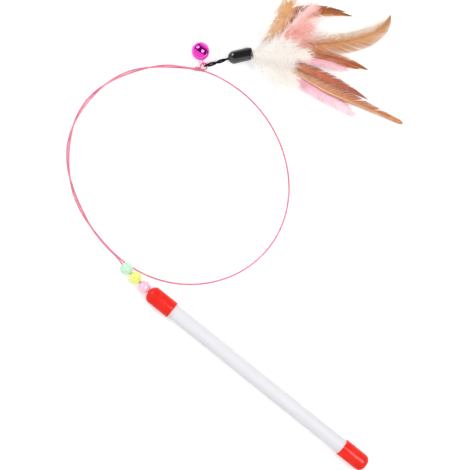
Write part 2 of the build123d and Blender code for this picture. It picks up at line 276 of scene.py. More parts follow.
# Moulded finishes: a broad mottle of two colours, and a fine grain in the roughness and the bump
mottle = {"detail": 4.0, "low": 0.3, "high": 0.7}
grain = {"detail": 2.0, "ratio": 9, "roughLow": 0.8, "roughHigh": 1.2, "strength": 0.25}
pearl = dict(rough=0.2, scale=90, depth=0.00001, Coat_Weight=0.6, Coat_Roughness=0.08)
coats = {
    "whitePlastic": dict(
        dark=(0.755, 0.75, 0.785), light=(0.805, 0.8, 0.83), rough=0.4, scale=60, depth=0.00003,
        stretch=(0.15, 1, 1), Specular_IOR_Level=0.1,
    ),
    "redVinyl": dict(
        dark=(0.8, 0.014, 0.008), light=(0.88, 0.026, 0.016), rough=0.28, scale=150, depth=0.00003,
        Specular_IOR_Level=0.1, Coat_Weight=0.1, Coat_Roughness=0.22,
    ),
    "pinkCoat": dict(
        dark=(0.73, 0.16, 0.26), light=(0.84, 0.245, 0.355), rough=0.35, scale=120, depth=0.00002
    ),
    "pinkPearl": dict(dark=(0.9, 0.47, 0.66), light=(0.95, 0.58, 0.75), **pearl),
    "yellowPearl": dict(dark=(0.86, 0.92, 0.14), light=(0.91, 0.95, 0.22), **pearl),
    "greenPearl": dict(dark=(0.5, 0.83, 0.57), light=(0.66, 0.92, 0.71), **pearl),
    "bellMetal": dict(
        dark=(0.8, 0.014, 0.5), light=(0.92, 0.026, 0.6), rough=0.09, scale=70, depth=0.000006,
        Metallic=1.0, Coat_Weight=1.0, Coat_Roughness=0.04,
    ),
    "plainSteel": dict(
        dark=(0.42, 0.42, 0.44), light=(0.6, 0.6, 0.61), rough=0.3, scale=300, depth=0.00001, Metallic=1.0
    ),
    "blackThread": dict(
        dark=(0.005, 0.005, 0.006), light=(0.016, 0.016, 0.018), rough=0.8, scale=900, depth=0.00006,
        Specular_IOR_Level=0.05,
    ),
    "blackPlastic": dict(
        dark=(0.005, 0.005, 0.006), light=(0.012, 0.012, 0.014), rough=0.05, scale=90, depth=0.000002,
        Specular_IOR_Level=0.9,
    ),
    "clearGlue": dict(
        dark=(0.72, 0.66, 0.5), light=(0.86, 0.82, 0.68), rough=0.25, scale=260, depth=0.0001
    ),
}


def objectNoise(material, scale, detail, stretch=(1, 1, 1)):
    coords = addNode(material, "ShaderNodeTexCoord")
    mapping = addNode(material, "ShaderNodeMapping", Scale=stretch)
    speckle = addNode(material, "ShaderNodeTexNoise", Scale=scale, Detail=detail)
    join(material, coords.outputs["Object"], mapping.inputs["Vector"])
    join(material, mapping.outputs["Vector"], speckle.inputs["Vector"])
    return speckle.outputs["Fac"]


def ramp(material, source, stops):
    node = addNode(material, "ShaderNodeValToRGB")
    points = node.color_ramp.elements
    while len(points) < len(stops):
        points.new(0.5)
    for point, (place, colour) in zip(points, stops):
        point.position = place
        point.color = (*colour, 1)
    join(material, source, node.inputs["Fac"])
    return node.outputs["Color"]


def mouldedFinish(name, dark, light, rough, scale, depth, stretch=(1, 1, 1), **sockets):
    material, shader = newFinish(name, rough, **sockets)
    broad = objectNoise(material, scale, mottle["detail"], stretch)
    colour = ramp(material, broad, [(mottle["low"], dark), (mottle["high"], light)])
    join(material, colour, shader.inputs["Base Color"])
    fine = objectNoise(material, scale * grain["ratio"], grain["detail"], stretch)
    roughness = mapRange(material, fine, after=(rough * grain["roughLow"], rough * grain["roughHigh"]))
    join(material, roughness, shader.inputs["Roughness"])
    bump = addNode(material, "ShaderNodeBump", Strength=grain["strength"], Distance=depth)
    join(material, fine, bump.inputs["Height"])
    join(material, bump.outputs["Normal"], shader.inputs["Normal"])
    return material


finishes = {name: mouldedFinish(name, **coat) for name, coat in coats.items()}
print("finishes made")


def finishPiece(name, bm, material, body, node=None, sharp=40):
    mesh = bpy.data.meshes.new(name)
    bm.to_mesh(mesh)
    bm.free()
    mesh.polygons.foreach_set("use_smooth", [True] * len(mesh.polygons))
    mesh.set_sharp_from_angle(angle=math.radians(sharp))
    mesh.materials.append(material)
    piece = bpy.data.objects.new(name, mesh)
    bpy.context.scene.collection.objects.link(piece)
    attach(piece, body)
    if node:
        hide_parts(node)
    return piece


def dressNode(name, finish):
    mesh = frame["nodes"][name].data
    mesh.materials.clear()
    mesh.materials.append(finishes[finish])


cordDetail = {"along": 6, "around": 5}


def layCord(name, points, radius, finish):
    curve = bpy.data.curves.new(name, "CURVE")
    curve.dimensions = "3D"
    spline = curve.splines.new("NURBS")
    spline.points.add(len(points) - 1)
    for point, place in zip(spline.points, points):
        point.co = (*place, 1)
    spline.order_u = 3
    spline.use_endpoint_u = True
    spline.resolution_u = cordDetail["along"]
    curve.bevel_depth = radius
    curve.bevel_resolution = cordDetail["around"]
    curve.use_fill_caps = True
    curve.materials.append(finishes[finish])
    piece = bpy.data.objects.new(name, curve)
    bpy.context.scene.collection.objects.link(piece)
    return piece


# Coated wire: straight through the beads, then its loop with two passes twisted about each other, which lie
# a little closer than the solids'
wire = {
    "radius": 0.5,
    "clearance": 0.02,
    "centre": (122.7, -71.5),
    "loopRadius": 71.5,
    "oval": 4.5,
    "ovalAngle": -4.3,
    "pear": 0.6,
    "pearAngle": 13.6,
    "square": 0.48,
    "squareAngle": 9.3,
    "spacing": 1.42,
    "leadOut": 3.5,
    "twistEnd": -58.7,
    "twistRate": 0.0432,
    "twistSlack": 0.0000345,
    "crossings": 6,
    "crossingSteps": 4,
    "eyeHeight": 2.85,
    "eyeLead": 7.0,
    "wrapRoot": 0.6,
    "aloneSteps": 20,
    "length": 0.6803,
}
nose = Vector((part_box("front_cap")[1].x, 0, 0))
floorLevel = cadBox[0].z + wire["clearance"] * mm
leadWay = jointAxis("pink_bead_spin")
beadNames = ("pink", "yellow", "green")
beadPlaces = [jointPlace(f"{name}_bead_spin") for name in beadNames]


def loopPoint(angle, aside, height):
    oval = wire["oval"] * math.cos(2 * math.radians(angle - wire["ovalAngle"]))
    pear = wire["pear"] * math.cos(3 * math.radians(angle - wire["pearAngle"]))
    square = wire["square"] * math.cos(4 * math.radians(angle - wire["squareAngle"]))
    place = Vector((*wire["centre"], 0)) + polar(angle, wire["loopRadius"] + oval + pear + square + aside)
    return place * mm + up * (floorLevel + (wire["radius"] + height) * mm)


def crossingAngle(crossing):
    root = math.sqrt(wire["twistRate"] ** 2 - 4 * wire["twistSlack"] * crossing)
    return wire["twistEnd"] + (wire["twistRate"] - root) / (2 * wire["twistSlack"])


def firstPass(crossing):
    half = wire["spacing"] / 2
    height = half * (1 - math.cos(math.pi * crossing)) if crossing > 0 else 0
    aside = -half * math.sin(math.pi * crossing) * min(1, 1 + crossing)
    return loopPoint(crossingAngle(crossing), aside, height)


def secondPass(crossing):
    half = wire["spacing"] / 2
    height = half * (1 + math.cos(math.pi * crossing)) if crossing < wire["crossings"] - 1 else 0
    lift = ease(1 - crossing) * (wire["eyeHeight"] - wire["radius"] - wire["spacing"])
    aside = half * math.sin(math.pi * crossing) * min(1, wire["crossings"] - crossing)
    return loopPoint(crossingAngle(crossing), aside, height + lift)


def leadIn(crossing):
    share = ease(wire["crossings"] - crossing)
    top = (beadPlaces[-1].z - floorLevel) / mm - wire["radius"]
    return loopPoint(crossingAngle(crossing), 0, top + (wire["spacing"] - top) * share)


def wirePoints():
    count, steps, alone = wire["crossings"], wire["crossingSteps"], wire["aloneSteps"]
    points = [nose, *beadPlaces, beadPlaces[-1] + leadWay * (wire["leadOut"] * mm)]
    points += [leadIn(count - i / steps) for i in range(1, steps)]
    points += [firstPass(count - 1 - i / steps) for i in range(steps * count + 1)]
    start = crossingAngle(-1)
    sweep = 360 + start - crossingAngle(count)
    points += [loopPoint(start - sweep * i / alone, 0, 0) for i in range(1, alone)]
    points += [secondPass(count - i / steps) for i in range(steps * count - 1)]
    heading = polar(wire["twistEnd"] - 90, mm)
    end = secondPass(0)
    return points + [end + heading * wire["wrapRoot"], end + heading * wire["eyeLead"]]


wirePiece = layCord("coatedWire", wirePoints(), wire["radius"] * mm, "pinkCoat")
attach(wirePiece, "wand")
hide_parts("wire")
for node in ("wire_anchor", "wire_eye"):
    dressNode(node, "pinkCoat")

# Black cord, doubled through the eye, its legs twisted once about each other
thread = {
    "radius": 0.625,
    "bight": 1.375,
    "span": 13.6,
    "endSpacing": 1.72,
    "closeSpacing": 1.36,
    "sag": 0.7,
    "blend": 0.25,
    "steps": 10,
    "length": 0.0346,
}
bight = jointPlace("cord_lift")
lureJoint = jointPlace("lure_swing")
cordWay = up.cross(jointAxis("cord_lift"))
cordSide = up.cross(cordWay)


def cordLeg(share, side):
    rise = (lureJoint.z - bight.z) * ease(share) - thread["sag"] * mm * math.sin(math.pi * share) ** 2
    close, end = thread["closeSpacing"] / 2, thread["endSpacing"] / 2
    spread = close + (thread["bight"] - close) * ease(1 - share / thread["blend"])
    spread += (end - close) * ease(1 - (1 - share) / thread["blend"])
    phase = math.pi * (ease(share) + share)
    across = up * math.cos(phase) + cordSide * math.sin(phase)
    return bight + cordWay * (thread["span"] * mm * share) + up * rise + across * (spread * side * mm)


def cordPoints():
    reach = thread["bight"] * mm
    corners = [bight - cordWay * reach + up * reach * side for side in (1, -1)]
    shares = [i / thread["steps"] for i in range(thread["steps"] + 1)]
    upper = [cordLeg(1 - share, 1) for share in shares]
    lower = [cordLeg(share, -1) for share in shares]
    return upper + corners + lower


cordPiece = layCord("blackCord", cordPoints(), thread["radius"] * mm, "blackThread")
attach(cordPiece, "cord")
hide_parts("lure_cord")
dressNode("cord_knot", "blackThread")
print("wire and cord laid")


def spun(profile, steps=96):
    bm = bmesh.new()
    verts = [bm.verts.new((radius * mm, 0, along * mm)) for radius, along in profile]
    edges = [bm.edges.new(pair) for pair in zip(verts, verts[1:] + verts[:1])]
    bmesh.ops.spin(
        bm, geom=verts + edges, cent=(0, 0, 0), axis=up, angle=math.tau, steps=steps, use_merge=True
    )
    bmesh.ops.remove_doubles(bm, verts=bm.verts, dist=tiny)
    bmesh.ops.recalc_face_normals(bm, faces=bm.faces)
    return bm


def roundRim(bm, radius, along, size, segments):
    def onRim(vert):
        return abs(vert.co.xy.length - radius * mm) < tiny and abs(vert.co.z - along * mm) < tiny

    rim = [edge for edge in bm.edges if all(onRim(vert) for vert in edge.verts)]
    bmesh.ops.bevel(
        bm, geom=rim, offset=size * mm, affect="EDGES", segments=segments, profile=0.5, material=-1
    )


def cutThrough(bm, place, normal, clear=False):
    everything = bm.verts[:] + bm.edges[:] + bm.faces[:]
    bmesh.ops.bisect_plane(bm, geom=everything, plane_co=place, plane_no=normal, clear_outer=clear)


def aimed(place, way, side=None):
    way = way.normalized()
    across = up.cross(way) if side is None else side
    across = (across - way * across.dot(way)).normalized()
    turn = Matrix((across, way.cross(across), way)).transposed().to_4x4()
    return Matrix.Translation(place) @ turn


# Handle tube and its caps
handle = {"radius": 5.0, "wall": 1.0, "half": 86.0, "edge": 0.2, "edgeSteps": 3}
cap = {
    "radius": 5.78,
    "bore": 5.03,
    "length": 19.5,
    "noseWall": 1.5,
    "shoulder": 4.0,
    "shoulderSteps": 12,
    "innerShoulder": 2.5,
    "innerSteps": 8,
    "rim": 0.3,
    "rimSteps": 4,
    "grip": 70.5,
    "wireHole": 0.55,
}


def makeTube():
    outer, inner, half = handle["radius"], handle["radius"] - handle["wall"], handle["half"]
    bm = spun([(outer, -half), (outer, half), (inner, half), (inner, -half)])
    for end in (-half, half):
        roundRim(bm, outer, end, handle["edge"], handle["edgeSteps"])
    bm.transform(aimed(Vector(), forward))
    finishPiece("handleTube", bm, finishes["whitePlastic"], "wand", "handle_tube")


def makeCap(name, node, way, hole):
    outer, bore, length = cap["radius"], cap["bore"], cap["length"]
    inside = length - cap["noseWall"]
    bm = spun([(outer, 0), (outer, length), (hole, length), (hole, inside), (bore, inside), (bore, 0)])
    roundRim(bm, outer, length, cap["shoulder"], cap["shoulderSteps"])
    roundRim(bm, bore, inside, cap["innerShoulder"], cap["innerSteps"])
    roundRim(bm, outer, 0, cap["rim"], cap["rimSteps"])
    bm.transform(aimed(way * cap["grip"] * mm, way))
    finishPiece(name, bm, finishes["redVinyl"], "wand", node)


makeTube()
makeCap("frontCap", "front_cap", forward, cap["wireHole"])
makeCap("rearCap", "rear_cap", -forward, 0.0)

# Round beads with a drilled bore, a little larger than the solids so that they touch
bead = {"radius": 4.12, "bore": 0.9, "land": 1.3, "steps": 64}


def makeBead(colour, place):
    bm = bmesh.new()
    steps = bead["steps"]
    bmesh.ops.create_uvsphere(bm, u_segments=steps, v_segments=steps // 2, radius=bead["radius"] * mm)
    flat = math.sqrt(bead["radius"] ** 2 - bead["land"] ** 2) * mm
    for side in (1, -1):
        cutThrough(bm, (0, 0, side * flat), (0, 0, side), clear=True)
    rims = [edge for edge in bm.edges if edge.is_boundary]
    grown = bmesh.ops.extrude_edge_only(bm, edges=rims)["geom"]
    inner = [item for item in grown if isinstance(item, bmesh.types.BMVert)]
    shrink = bead["bore"] / bead["land"]
    bmesh.ops.scale(bm, verts=inner, vec=(shrink, shrink, 1))
    bores = [edge for edge in bm.edges if edge.is_boundary]
    bmesh.ops.bridge_loops(bm, edges=bores)
    bmesh.ops.recalc_face_normals(bm, faces=bm.faces)
    bm.transform(aimed(place, leadWay))
    body = f"{colour}_bead"
    return finishPiece(f"{colour}Bead", bm, finishes[f"{colour}Pearl"], body, f"bead_{colour}")


beadPieces = [makeBead(colour, place) for colour, place in zip(beadNames, beadPlaces)]
print("handle, caps and beads made")

# Jingle bell: a thin shell with a slit that ends in two round holes, and a hole for the shank
bell = {
    "radius": 6.0,
    "wall": 0.5,
    "shankHole": 1.7,
    "slitHalf": 0.4,
    "slitAngle": 28.0,
    "slitHole": 0.95,
    "slitMargin": 1.01,
    "snap": 0.35,
    "steps": 160,
    "sharp": 50,
}
bellWay = jointAxis("bell_turn")
bellAcross = -jointAxis("bell_swing")


def makeBell():
    radius, slitHalf, steps = bell["radius"] * mm, bell["slitHalf"] * mm, bell["steps"]
    bm = bmesh.new()
    bmesh.ops.create_uvsphere(bm, u_segments=steps, v_segments=steps // 2, radius=radius)
    for side in (1, -1):
        cutThrough(bm, (side * slitHalf, 0, 0), forward)
    tilt = math.radians(bell["slitAngle"])
    slitEnds = [Vector((0, side * math.sin(tilt), math.cos(tilt))) * radius for side in (1, -1)]
    holes = [(centre, bell["slitHole"] * mm) for centre in slitEnds]
    holes.append((Vector((0, 0, -radius)), bell["shankHole"] * mm))

    def cutAway(place):
        inHole = any((place - centre).length < size for centre, size in holes)
        inSlit = place.z > radius * math.cos(tilt) and abs(place.x) < slitHalf
        return inHole or inSlit

    gone = [face for face in bm.faces if cutAway(face.calc_center_median())]
    bmesh.ops.delete(bm, geom=gone, context="FACES")
    # Boundary points near a hole's edge, apart from those of the slit, move onto it
    for vert in bm.verts:
        if not vert.is_boundary:
            continue
        for centre, size in holes:
            reach = vert.co - centre
            if abs(reach.length - size) < bell["snap"] * mm and abs(vert.co.x) > slitHalf * bell["slitMargin"]:
                vert.co = (centre + reach.normalized() * size).normalized() * radius
    bmesh.ops.solidify(bm, geom=bm.faces[:], thickness=bell["wall"] * mm)
    bm.transform(aimed(jointPlace("bell_turn"), bellWay, bellAcross))
    finishPiece("bellShell", bm, finishes["bellMetal"], "bell", "bell_shell", bell["sharp"])


makeBell()
dressNode("bell_shank", "bellMetal")
dressNode("bell_clapper", "plainSteel")
print("bell made")

# Glossy domed cap that holds the feathers, and the cord's ends that go into it
lureCap = {
    "turn": -3.5,
    "start": 0.925,
    "length": 16.0,
    "radius": 4.25,
    "wall": 0.9,
    "hole": 1.585,
    "rim": 0.6,
    "rimSteps": 5,
    "domeSteps": 20,
    "tail": 1.9,
    "tailSteps": (24, 16),
}
lureWay = Matrix.Rotation(math.radians(lureCap["turn"]), 3, "Z") @ cordWay


def domeProfile(radius, centre):
    steps = lureCap["domeSteps"]
    pole = math.asin(lureCap["hole"] / radius)
    turns = [pole + (math.pi / 2 - pole) * i / steps for i in range(steps + 1)]
    return [(radius * math.sin(turn), centre + radius * math.cos(turn)) for turn in turns]


def makeLureCap():
    outer, inner, length = lureCap["radius"], lureCap["radius"] - lureCap["wall"], lureCap["length"]
    centre = length - math.sqrt(outer**2 - lureCap["hole"] ** 2)
    bm = spun(domeProfile(outer, centre) + [(outer, 0), (inner, 0)] + domeProfile(inner, centre)[::-1])
    roundRim(bm, outer, 0, lureCap["rim"], lureCap["rimSteps"])
    mouth = lureJoint + lureWay * (lureCap["start"] + length) * mm
    bm.transform(aimed(mouth, -lureWay))
    finishPiece("lureCap", bm, finishes["blackPlastic"], "lure", "lure_cap")


def makeCordTails():
    bm = bmesh.new()
    radius, spread = thread["radius"] * mm, thread["endSpacing"] / 2 * mm
    around, along = lureCap["tailSteps"]
    for side in (1, -1):
        ball = bmesh.ops.create_uvsphere(bm, u_segments=around, v_segments=along, radius=radius)["verts"]
        ahead = [vert for vert in ball if vert.co.z > tiny]
        bmesh.ops.translate(bm, verts=ahead, vec=(0, 0, lureCap["tail"] * mm))
        bmesh.ops.translate(bm, verts=ball, vec=(side * spread, 0, 0))
    bm.transform(aimed(lureJoint, lureWay, up))
    finishPiece("cordTails", bm, finishes["blackThread"], "lure")


makeLureCap()
makeCordTails()
dressNode("glue_plug", "clearGlue")
print("lure cap made")

# Feathers: bends and tip are forward, aside and above the cap's mouth. The vane's colours run along the spine
# and at its two edges, and each down is a row of loose barbs. The plain values hold where a feather has none
mouthX = lureCap["start"] + lureCap["length"]
quill = {"columnStep": 1.2, "rowStep": 1.05, "width": 0.8, "thickness": 0.76, "depth": 7.2}
vaneShares = (0.14, 0.3, 0.5, 0.7, 0.86, 1.0)
vaneForms = {
    "blade": (0.34, 0.78, 1.0, 0.92, 0.62, 0.08),
    "tail": (0.4, 0.95, 1.0, 0.6, 0.38, 0.26),
    "plume": (0.3, 0.68, 0.95, 1.0, 0.8, 0.3),
}
# Stain and speck darken noise patches of the barbs: partly the down's own beige streaks, partly painted shade
# for the small shadows between tufts
plainFeather = dict(
    rootBias=0, slim=1, trim=0, fray=0.4, bare=0.02, shaftSize=1, down=[],
    sheen=0.12, shade=(0.82, 1.12), stain=(243, 233, 222), speck=(0.45, 0.7, 260),
)
plainDown = dict(pale=0, curl=1, bow=0.3, sway=0.05, stray=0)
feathers = {
    "feather_brown_top_long": dict(
        bends=[(23.5, 32.3, -2.2)], tip=(65.9, 11.8, -2.6), width=6.5, form="blade", bias=-0.1,
        barbs=200, splits=[0.62, 0.84], shaft=(120, 70, 40), slot="brown_feather",
        along=[(0, (172, 112, 66)), (0.5, (190, 108, 52)), (0.8, (176, 92, 40)), (1, (112, 66, 36))],
        edges=[(226, 178, 126), (146, 94, 58)],
        down=[
            dict(sides=(1,), start=0.3, stop=0.6, count=90, reach=8, fan=(8, 22), rise=0.2),
        ],
    ),
    "feather_brown_top_short": dict(
        bends=[(28.9, 27.6, -0.4)], tip=(69.7, 7.6, -0.6), width=6.5, form="blade", bias=0.1,
        barbs=200, splits=[0.7], shaft=(140, 78, 40), slot="brown_feather",
        along=[(0, (165, 105, 70)), (0.5, (200, 118, 56)), (0.8, (186, 100, 42)), (1, (140, 76, 34))],
        edges=[(228, 182, 130), (156, 96, 62)],
    ),
    "feather_tan_broad": dict(
        bends=[(18.2, 9.4, 2.4)], tip=(29.3, 26.5, 3.2), width=14, form="plume", bias=-0.1,
        barbs=200, fray=0.6, splits=[0.5, 0.66, 0.82], shaft=(220, 166, 112), slot="tan_feather",
        along=[
            (0, (246, 216, 182)), (0.5, (243, 192, 140)), (0.85, (240, 182, 124)), (1, (228, 164, 102)),
        ],
        edges=[(238, 178, 122), (253, 238, 216)],
        down=[
            dict(sides=(1,), start=0.3, stop=0.98, count=300, reach=12, fan=(14, 60), rise=0.5, pale=0.4),
            dict(sides=(-1,), start=0.3, stop=0.9, count=320, reach=14, fan=(20, 58), rise=0.4),
        ],
    ),
    "plume_pink_upper": dict(
        bends=[(24, 2.7, 4.8)], tip=(45.6, 19, 6.4), width=15, form="plume", bias=0,
        barbs=0, shaft=(238, 170, 165), shaftSize=0.4, slot="pink_feather",
        along=[
            (0, (250, 198, 182)), (0.4, (245, 146, 132)), (0.75, (252, 192, 184)), (1, (255, 234, 230)),
        ],
        edges=[(252, 202, 194), (255, 232, 228)], shade=(0.88, 1.2),
        down=[
            dict(sides=(1,), start=0.4, stop=0.7, count=200, reach=6, fan=(14, 45), rise=0.6, sway=0.1),
            dict(
                sides=(-1,), start=0.32, stop=0.62, count=420, reach=19, fan=(30, 100), rise=0.6, sway=0.1,
            ),
            dict(
                sides=(1, -1), start=0.5, stop=0.95, count=170, reach=13, fan=(5, 90), rise=0.9, pale=0.7,
                curl=2, sway=0.2,
            ),
        ],
    ),
    "plume_white_upper": dict(
        bends=[(7.3, 11.3, 7.4)], tip=(21.8, 24.3, 9.2), width=15, form="plume", bias=0.15,
        barbs=0, shaft=(254, 252, 250), shaftSize=0.35, slot="white_feather",
        along=[(0, (255, 254, 253)), (0.5, (255, 255, 254)), (1, (255, 254, 252))],
        edges=[(255, 252, 248), (255, 255, 255)], shade=(0.95, 1.22), sheen=0.8, stain=(240, 230, 222),
        speck=(0.62, 0.78, 760),
        down=[
            dict(
                sides=(1,), start=0.0, stop=0.98, count=560, reach=17, fan=(10, 70), rise=0.8, bow=0.5,
                sway=0.1, stray=0.8,
            ),
            dict(
                sides=(-1,), start=0.0, stop=0.7, count=560, reach=10, fan=(6, 58), rise=0.6, bow=0.4,
                sway=0.1, stray=0.8,
            ),
        ],
    ),
    "feather_brown_middle_long": dict(
        bends=[(41.8, -4.9, -2.4)], tip=(71.5, -28.5, -3.0), width=7, form="blade", bias=0.1,
        barbs=200, splits=[0.52, 0.64, 0.78], shaft=(140, 80, 40), slot="brown_feather",
        along=[(0, (232, 156, 126)), (0.68, (224, 138, 106)), (0.84, (176, 94, 48)), (1, (120, 88, 48))],
        edges=[(208, 122, 86), (224, 152, 120)],
    ),
    "feather_brown_middle_short": dict(
        bends=[(37.6, -8.3, -0.7)], tip=(65.5, -26.7, -1.0), width=6, form="blade", bias=0,
        barbs=200, splits=[0.5, 0.6, 0.74], shaft=(150, 80, 36), slot="brown_feather",
        along=[(0, (230, 152, 122)), (0.66, (222, 134, 102)), (0.86, (186, 96, 46)), (1, (150, 78, 30))],
        edges=[(216, 128, 92), (208, 120, 82)],
    ),
    "plume_pink_middle": dict(
        bends=[(33.4, -12.0, 0.7)], tip=(55.5, -24.3, 0.6), width=9, slim=0.66, form="plume", bias=0,
        barbs=130, fray=0.95, splits=[0.35, 0.55, 0.75], shaft=(244, 180, 194), slot="pink_feather",
        along=[(0, (240, 172, 162)), (0.5, (244, 174, 184)), (1, (252, 214, 226))],
        edges=[(252, 218, 228), (248, 196, 208)],
        down=[
            dict(sides=(1, -1), start=0.3, stop=0.98, count=150, reach=9, fan=(8, 34), rise=0.4),
        ],
    ),
    "feather_tan_curled": dict(
        bends=[(29.9, 0, 2.4), (80.2, -21.3, 3.6)], tip=(92.6, 2.8, 3.0), width=14, form="blade", bias=0.15,
        barbs=280, splits=[], shaft=(160, 100, 56), slot="tan_feather",
        along=[
            (0, (216, 132, 100)), (0.34, (210, 134, 98)), (0.52, (204, 145, 96)), (0.75, (210, 153, 102)),
            (1, (172, 118, 72)),
        ],
        edges=[(196, 136, 85), (240, 228, 214)],
        down=[
            dict(
                sides=(1,), start=0.08, stop=0.74, count=320, reach=15, fan=(24, 60), rise=0.5, pale=0.8,
                sway=0.08,
            ),
        ],
    ),
    "plume_cream_middle": dict(
        bends=[(19.7, -5.6, 8.6)], tip=(40.9, -13.9, 8.6), width=11, form="plume", bias=0,
        barbs=0, shaft=(246, 232, 212), shaftSize=0.35, slot="cream_feather",
        along=[(0, (255, 252, 248)), (0.5, (252, 244, 235)), (1, (240, 220, 198))],
        edges=[(255, 251, 247), (255, 251, 247)], shade=(0.9, 1.18), sheen=0.6, stain=(231, 214, 198),
        speck=(0.56, 0.76, 700),
        down=[
            dict(
                sides=(1, -1), start=0.1, stop=0.76, count=420, reach=9, fan=(12, 60), rise=1.0, bow=0.5,
                sway=0.1, stray=1.0,
            ),
            dict(
                sides=(1, -1), start=0.0, stop=0.45, count=480, reach=15, fan=(30, 100), rise=1.2, bow=0.5,
                sway=0.1, stray=1.0,
            ),
        ],
    ),
    "plume_pink_lower": dict(
        bends=[(23.7, -20.8, -2.4)], tip=(54.6, -53.9, -3.0), width=12, form="plume", bias=0.25,
        barbs=150, fray=1.0, splits=[0.3, 0.5, 0.62, 0.8], shaft=(251, 186, 206), slot="pink_feather",
        along=[
            (0, (253, 206, 210)), (0.42, (249, 164, 188)), (0.7, (251, 190, 209)), (1, (255, 232, 240)),
        ],
        edges=[(255, 240, 246), (251, 190, 210)],
        down=[
            dict(sides=(1,), start=0.1, stop=0.98, count=220, reach=12, fan=(8, 42), rise=0.3),
            dict(
                sides=(-1,), start=0.1, stop=0.98, count=340, reach=13, fan=(18, 66), rise=0.3, pale=0.4,
                sway=0.08,
            ),
        ],
    ),
    "feather_brown_low_long": dict(
        bends=[(40.9, -31.5, -0.3)], tip=(85.1, -68, -1.6), width=11, form="tail", bias=-0.55, rootBias=1.0,
        barbs=240, bare=0.22, trim=1.0, splits=[0.66, 0.8], shaft=(246, 208, 172), slot="brown_feather",
        along=[
            (0.2, (240, 198, 160)), (0.45, (210, 146, 108)), (0.7, (200, 130, 86)), (1, (198, 128, 76)),
        ],
        edges=[(218, 156, 108), (190, 104, 64)],
    ),
    "feather_rust_low": dict(
        bends=[(33.9, -14.6, 2.4)], tip=(66.0, -47.8, 2.0), width=8, slim=0.8, form="blade", bias=-0.1,
        barbs=165, bare=0.36, splits=[0.55, 0.66, 0.8], shaft=(200, 124, 88), slot="rust_feather",
        along=[(0.3, (238, 186, 148)), (0.52, (208, 112, 78)), (0.75, (176, 88, 56)), (1, (128, 74, 50))],
        edges=[(200, 100, 66), (156, 76, 46)],
    ),
    "plume_cream_lower": dict(
        bends=[(7.4, -13.2, 5.0)], tip=(20, -25.2, 6.2), width=14, form="plume", bias=0,
        barbs=0, shaft=(250, 240, 226), shaftSize=0.35, slot="cream_feather",
        along=[(0, (255, 252, 249)), (0.5, (254, 250, 244)), (1, (252, 244, 234))],
        edges=[(255, 254, 252), (254, 249, 243)], shade=(0.9, 1.18), sheen=0.6, stain=(231, 214, 198),
        speck=(0.56, 0.76, 700),
        down=[
            dict(
                sides=(1, -1), start=0.0, stop=0.98, count=560, reach=12.5, fan=(14, 76), rise=1.0, bow=0.5,
                sway=0.1, stray=1.0,
            ),
        ],
    ),
}
firstSeed = 31
lowest = (floorLevel - lureJoint.z) / mm
barbSegments = 8
spineSteps = 40
featherSharp = 60
vane = {
    "end": 0.99,
    "camber": 0.05,
    "overlap": 1.12,
    "lean": 1.5,
    "leanPower": 1.2,
    "leanFade": 0.3,
    "trimEnd": 0.85,
    "splitShift": 0.011,
    "splitReach": 0.03,
    "partSpread": 0.0007,
    "ragged": 0.07,
    "liftSpread": 0.07,
    "tipStart": 0.95,
    "tipLeast": 0.02,
    "clearance": 0.15,
}
fluff = {
    "width": 0.17,
    "thinning": 0.75,
    "rootLength": 0.45,
    "rootGrowth": 2,
    "tipLength": 0.55,
    "tipFade": 0.3,
    "closing": 0.45,
    "curl": (-0.2, 0.7),
    "length": (0.5, 1.15),
    "waves": (0.5, 1.6),
    "bowScale": 4,
}
shaft = {
    "sides": 8,
    "steps": 24,
    "taper": 0.8,
    "rootBlend": 0.6,
    "sideBlend": (0.2, 0.15),
    "riseBlend": 0.2,
    "sizeBlend": 0.1,
    "clearance": 0.05,
    "seam": 0.0001,
    "lighter": 1.2,
    "rough": 0.4,
    "scale": 200,
    "depth": 0.00002,
}
barbFinish = {
    "rough": 0.62,
    "roughRange": (0.52, 0.75),
    "gloss": 0.25,
    "edgeStops": (0.35, 0.65),
    "edgeReach": (0.08, 0.5),
    "edgeShare": 0.85,
    "streakScale": (80, 2.2, 1),
    "streakDetail": 3.0,
    "levels": (0.3, 1.7),
    "speckAndShadeDetail": 2.0,
}


# Screen levels from 0 to 255 as linear colour
def paint(colour):
    return [((value / 255 + 0.055) / 1.055) ** 2.4 for value in colour]


